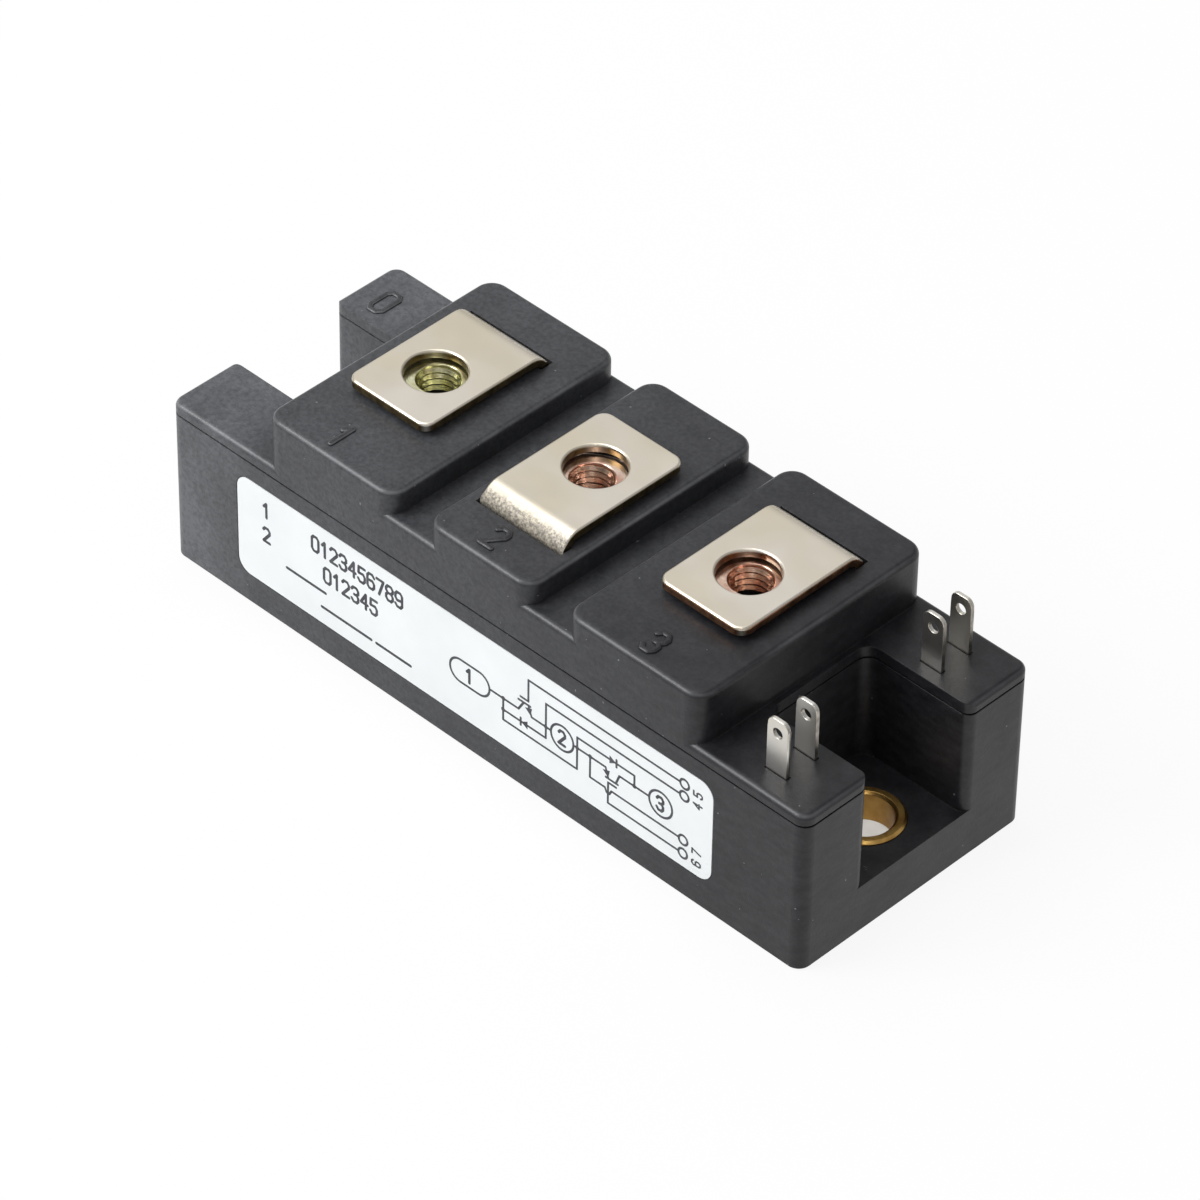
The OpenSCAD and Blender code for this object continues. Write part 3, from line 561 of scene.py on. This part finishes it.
def capsule(bm, centre, length, height, width, thickness):
    """Adds a flat outline with straight sides and round ends."""
    older = set(bm.verts)
    x, y = centre
    reach = (length - height) / 2
    radius = (height - width) / 2
    section, edges = band_section(bm, (x + reach, y - radius, 0), (0, 1, 0), width, thickness)
    for side in (1, -1):
        turned = bmesh.ops.spin(bm, geom=section + edges, cent=(x + side * reach, y, 0), axis=(0, 0, 1),
                                angle=math.pi, steps=16, use_merge=False, use_duplicate=False)
        moved = bmesh.ops.extrude_edge_only(bm, edges=[g for g in turned["geom_last"]
                                                       if isinstance(g, bmesh.types.BMEdge)])
        section = [g for g in moved["geom"] if isinstance(g, bmesh.types.BMVert)]
        edges = [g for g in moved["geom"] if isinstance(g, bmesh.types.BMEdge)
                 and all(v in section for v in g.verts)]
        bmesh.ops.translate(bm, verts=section, vec=(-side * 2 * reach, 0, 0))
    bmesh.ops.remove_doubles(bm, verts=[v for v in bm.verts if v not in older], dist=MERGE / MM)


def dot(bm, centre, radius, thickness, corners=12, turn=0.0):
    """Adds a filled round spot, or with three corners an arrowhead that points along turn."""
    place = Matrix.Translation((*centre, 0)) @ Matrix.Rotation(math.radians(turn - 90), 4, "Z")
    bmesh.ops.create_cone(bm, cap_ends=True, segments=corners, radius1=radius, radius2=radius,
                          depth=hair_lower(thickness), matrix=place)


# ---------- label, its places in millimetres along and up the front of the housing ----------

INK = 0.02              # thickness of the print
FILM_THINNED = 0.015    # how far the film lies behind the face of the print
FINE, MEDIUM, BOLD = 0.232, 0.29, 0.38      # widths of the strokes

# Lines of the circuit diagram
CIRCUIT = [
    [(2.05, 10.55), (6.2, 10.55), (6.9, 11.75)],
    [(6.2, 11.9), (7.95, 11.9)],
    [(6.5, 12.45), (7.65, 12.45), (7.65, 15.4), (29.6, 15.4)],
    [(7.65, 11.9), (8.15, 10.55), (11.0, 10.55)],
    [(10.25, 9.0), (10.25, 13.75), (29.6, 13.75)],
    [(3.9, 9.0), (10.25, 9.0)],
    [(6.55, 8.5), (6.55, 9.5)],
    [(3.95, 10.55), (3.95, 7.6), (14.85, 7.6), (14.85, 12.0), (23.15, 12.0), (23.15, 10.55)],
    [(20.55, 11.5), (20.55, 12.5)],
    [(14.3, 10.55), (19.0, 10.55), (19.4, 9.25)],
    [(19.05, 9.2), (20.8, 9.2)],
    [(20.55, 8.65), (19.4, 8.65), (19.4, 5.8), (29.6, 5.8)],
    [(20.5, 9.2), (21.0, 10.55), (25.25, 10.55)],
    [(16.75, 10.55), (16.75, 7.7), (18.95, 7.7), (19.2, 7.15), (19.6, 7.15), (19.9, 7.7), (29.6, 7.7)],
]
JOINTS = [(3.95, 10.55), (3.95, 9.0), (10.25, 10.55), (14.85, 10.55), (16.75, 10.55), (23.15, 10.55)]
JOINT_RADIUS = 0.3
ARROWHEADS = [((7.8, 11.25), -70), ((7.25, 9.0), 180), ((19.85, 12.0), 0), ((19.2, 9.9), -72)]
ARROWHEAD_RADIUS = 0.62
TERMINAL_RINGS = [(12.65, 10.5), (26.95, 10.5)]
TERMINAL_RING_RADIUS = 1.65
PIN_RINGS = [(30.25, 15.4), (30.25, 13.75), (30.25, 7.65), (30.25, 5.8)]
PIN_RING_RADIUS = 0.62
CAPSULE = ((-1.05, 10.4), 6.2, 3.4)     # its middle, length and height

# Plain numbers: text, lower left corner, height and pitch
NUMBERS = [
    ("0123456789", (-25.0, 13.5), 2.0, 1.42),
    ("012345", (-23.2, 10.1), 2.0, 1.42),
    ("1", (-32.6, 13.6), 1.9, 1.4),
    ("2", (-32.6, 10.2), 1.9, 1.4),
    ("1", (-1.6, 9.5), 1.8, 1.3),
    ("2", (12.15, 9.6), 1.8, 1.3),
    ("3", (26.4, 9.6), 1.8, 1.3),
]
# Numbers by the pin rings, which read upwards
PIN_NUMBERS = [("45", (32.75, 13.3)), ("67", (32.75, 5.3))]
PIN_NUMBER_HEIGHT = 1.2
PIN_NUMBER_PITCH = 1.5
# Plain rules in the place of small print: start, height and length
RULES = [(-29.0, 8.5, 6.0), (-23.6, 6.3, 7.6), (-15.2, 6.3, 5.2)]


def print_label(material):
    """Thin print on the label: a circuit diagram, plain numbers and rules."""
    bm = bmesh.new()
    for line in CIRCUIT:
        path(bm, line, MEDIUM, INK)
    for spot in JOINTS:
        dot(bm, spot, JOINT_RADIUS, INK)
    for spot, turn in ARROWHEADS:
        dot(bm, spot, ARROWHEAD_RADIUS, INK, 3, turn)
    for spot in TERMINAL_RINGS:
        ring(bm, spot, TERMINAL_RING_RADIUS, MEDIUM, INK)
    for spot in PIN_RINGS:
        ring(bm, spot, PIN_RING_RADIUS, MEDIUM, INK)
    capsule(bm, *CAPSULE, MEDIUM, INK)
    for text, corner, height, pitch in NUMBERS:
        number(bm, text, corner, height, pitch, BOLD, INK)
    for text, corner in PIN_NUMBERS:
        number(bm, text, corner, PIN_NUMBER_HEIGHT, PIN_NUMBER_PITCH, FINE, INK, upward=True)
    for x, z, length in RULES:
        bar(bm, (x, z), (x + length, z), BOLD, INK)
    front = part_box("label")[0].y + INK * MM / 2
    upright = Matrix.Translation((0, front, 0)) @ Matrix.Rotation(math.pi / 2, 4, "X") @ Matrix.Scale(MM, 4)
    bmesh.ops.transform(bm, verts=bm.verts, matrix=upright)
    bmesh.ops.recalc_face_normals(bm, faces=bm.faces)
    finish_piece(bm, "label_print", material)


def thinned_label(material):
    """The label's film, its face drawn in by less than the print's thickness."""
    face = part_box("label")[0].y
    bm = merged_copy("label")
    outer = [v for v in bm.verts if v.co.y < face + HAIR]
    bmesh.ops.translate(bm, verts=outer, vec=(0, FILM_THINNED * MM, 0))
    finish_piece(bm, "label_sheet", material, "label")


# ---------- moulded numbers, in millimetres ----------

# Text, lower left corner, height of the figure and level of the surface
MOULDED = [
    ("1", (-24.4, -15.4), 3.2, 28),
    ("2", (-1.2, -15.4), 3.2, 28),
    ("3", (21.9, -15.4), 3.2, 28),
    ("0", (-43.8, 9.3), 3.7, 21.3),
]
MOULDED_PITCH = 2.9
RIDGE_WIDTH = 0.72
RIDGE_THICKNESS = 0.66      # half of it stands proud


def moulded_numbers(material):
    """Raised numbers of the terminals on the block tops, and a nought on the rear left corner."""
    bm = bmesh.new()
    for text, corner, height, level in MOULDED:
        older = set(bm.verts)
        number(bm, text, corner, height, MOULDED_PITCH, RIDGE_WIDTH, RIDGE_THICKNESS, ridge=True)
        bmesh.ops.translate(bm, verts=[v for v in bm.verts if v not in older], vec=(0, 0, level))
    bmesh.ops.scale(bm, verts=bm.verts, vec=(MM, MM, MM))
    bmesh.ops.recalc_face_normals(bm, faces=bm.faces)
    finish_piece(bm, "moulded_numbers", material)


# ---------- the module ----------

def finish_housing():
    """Lid, case and their numbers."""
    dress(moulded_plastic("housing_plastic", 0.14 * MM), "lid", "case")
    # The numbers take a smaller share of the haze and the painted light, so they read darker: painted shade
    moulded_numbers(moulded_plastic("number_plastic", 0.05 * MM, haze_and_light_share=0.36))


def finish_label():
    """Film and print."""
    thinned_label(cloudy("label_film", (0.785, 0.815, 0.825), (0.845, 0.870, 0.880),
                         roughness=0.42, scale=120, depth=0.004 * MM))
    print_label(cloudy("label_ink", (0.034, 0.036, 0.044), (0.066, 0.069, 0.080),
                       roughness=0.6, scale=900, depth=0.002 * MM))


def finish_base():
    """Baseplate, its seal and the two sleeves."""
    dress(cloudy("base_nickel", (0.57, 0.545, 0.50), (0.70, 0.67, 0.62), 1.0, 0.34), "baseplate")
    dress(cloudy("seal_silicone", (0.55, 0.56, 0.56), (0.62, 0.63, 0.63), roughness=0.55), "base_seal")
    for side in ("left", "right"):
        low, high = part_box("sleeve_" + side)
        # The sleeves' upright walls get painted shade, which darkens the inside of the bore
        dress(turned_metal("sleeve_brass_" + side, *BRASS, (low + high) / 2, 0.32, painted_wall_shade=0.8),
              "sleeve_" + side)


# Each terminal: its number, core metal, the plating of its nut, the side of its free end and its worn bend
TERMINALS = (
    (1, OLIVE_CORE, YELLOW_ZINC, -1, 0.0),
    (2, OLIVE_CORE, PINK_ZINC, 1, 1.0),
    (3, COPPER_CORE, COPPER_ZINC, -1, 0.0),
)


def finish_terminals():
    """Terminals, nuts and signal tabs."""
    for i, core, zinc, free_side, worn_bend in TERMINALS:
        stamped_terminal(f"terminal_{i}", plated_sheet(f"terminal_{i}_nickel", NICKEL, core, 0.05 * MM,
                                                       free_side, BEND_START, worn_bend))
        low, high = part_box(f"nut_{i}")
        threaded_nut(f"nut_{i}", turned_metal(f"nut_{i}_zinc", *zinc, (low + high) / 2, 0.19))
    tin = plated_sheet("tab_tin", TIN, TAB_CORE, 0.03 * MM)
    for i in (4, 5, 6, 7):
        stamped_tab(f"tab_{i}", tin)


def finish_inside():
    """Substrate, chips, wires and gel."""
    dress(cloudy("solder_tin", (0.42, 0.43, 0.45), (0.52, 0.53, 0.55), 1.0),
          "substrate_solder", "chip_solder")
    dress(cloudy("track_copper", (0.60, 0.30, 0.17), (0.76, 0.42, 0.26), 1.0, 0.35),
          "back_copper", "track_plus", "track_middle", "track_minus", "track_gate_upper", "track_gate_lower")
    dress(cloudy("ceramic_white", (0.78, 0.78, 0.74), (0.85, 0.85, 0.82)), "ceramic")
    dress(cloudy("chip_silicon", (0.22, 0.24, 0.29), (0.34, 0.36, 0.42), 0.6, 0.3),
          "igbt_upper", "igbt_lower", "diode_upper", "diode_lower")
    dress(cloudy("wire_aluminium", (0.70, 0.71, 0.72), (0.82, 0.83, 0.84), 1.0, 0.25),
          "power_wires_upper", "power_wires_lower", "gate_wires")
    dress(clear_gel("gel_silicone"), "gel")


# ---------- camera, floor and light ----------

CAMERA_PLACE = (0.386777, -0.39981, 0.490819)
CAMERA_AZIMUTH, CAMERA_ELEVATION, CAMERA_ROLL = 43.947, 40.752, 0.988       # degrees
CAMERA_LENS = 207.27        # on a 36 mm sensor
FLOOR_WHITE = 0.90          # how far the camera and the metal see the floor as plain white
WORLD_LIGHT = 0.40
# Soft boxes: name, place, side in metres and power in watts
LAMPS = (
    ("key", (-0.55, -0.75, 0.75), 0.6, 8.7),
    ("back", (-0.62, 0.60, 0.75), 1.1, 1.4),
    ("top", (-0.30, -0.10, 0.95), 0.7, 3.4),
    ("glint", (0.45, -0.48, 0.80), 0.12, 0.6),
)


def place_camera():
    """Looks down on the corner between the label and the signal tabs, from about 0.74 m away."""
    azimuth, elevation = math.radians(CAMERA_AZIMUTH), math.radians(CAMERA_ELEVATION)
    back = Vector((math.sin(azimuth) * math.cos(elevation), -math.cos(azimuth) * math.cos(elevation),
                   math.sin(elevation)))
    camera = bpy.data.objects.new("camera", bpy.data.cameras.new("camera"))
    camera.data.sensor_width = 36
    camera.data.lens = CAMERA_LENS
    camera.data.clip_end = 10
    roll = Matrix.Rotation(math.radians(CAMERA_ROLL), 4, "Z")
    turned = (-back).to_track_quat("-Z", "Y").to_matrix().to_4x4() @ roll
    camera.matrix_world = Matrix.Translation(CAMERA_PLACE) @ turned
    bpy.context.scene.collection.objects.link(camera)
    bpy.context.scene.camera = camera


def floor_material():
    """Pale floor that keeps a soft shadow, and that the camera and the metal see nearly white."""
    material, n, links = new_material("floor")
    shader = n["Principled BSDF"]
    shader.inputs["Base Color"].default_value = (0.86, 0.86, 0.86, 1)
    shader.inputs["Roughness"].default_value = 0.9
    shader.inputs["Specular IOR Level"].default_value = 0.1
    glow = n.new("ShaderNodeEmission")
    glow.inputs["Color"].default_value = (1, 1, 1, 1)
    ray = n.new("ShaderNodeLightPath").outputs
    seen = maths(n, links, "MAXIMUM", ray["Is Camera Ray"], ray["Is Glossy Ray"])
    seen = maths(n, links, "MAXIMUM", seen, ray["Is Transmission Ray"])
    mix = n.new("ShaderNodeMixShader")
    links.new(times(n, links, seen, FLOOR_WHITE), mix.inputs["Fac"])
    links.new(shader.outputs["BSDF"], mix.inputs[1])
    links.new(glow.outputs["Emission"], mix.inputs[2])
    links.new(mix.outputs["Shader"], n["Material Output"].inputs["Surface"])
    return material


def lay_floor():
    """A plain floor, 4 m square, just under the module."""
    mesh = bpy.data.meshes.new("floor")
    bm = bmesh.new()
    bmesh.ops.create_grid(bm, x_segments=1, y_segments=1, size=2.0)
    bm.to_mesh(mesh)
    bm.free()
    floor = bpy.data.objects.new("floor", mesh)
    floor.location.z = -0.05 * MM
    mesh.materials.append(floor_material())
    bpy.context.scene.collection.objects.link(floor)


def hang_lamp(name, place, size, power):
    """Square soft box that faces the middle of the module."""
    lamp = bpy.data.lights.new(name, "AREA")
    lamp.size = size
    lamp.energy = power
    holder = bpy.data.objects.new(name, lamp)
    holder.location = place
    holder.rotation_euler = (-Vector(place)).to_track_quat("-Z", "Y").to_euler()
    bpy.context.scene.collection.objects.link(holder)


def light_scene():
    """Even light from all round, and the soft boxes."""
    world = bpy.data.worlds.new("studio")
    world.use_nodes = True
    background = world.node_tree.nodes["Background"]
    background.inputs["Color"].default_value = (1, 1, 1, 1)
    background.inputs["Strength"].default_value = WORLD_LIGHT
    bpy.context.scene.world = world
    for lamp in LAMPS:
        hang_lamp(*lamp)


finish_housing()
finish_label()
finish_base()
finish_terminals()
finish_inside()
place_camera()
lay_floor()
light_scene()
bpy.context.scene.view_settings.view_transform = "Standard"
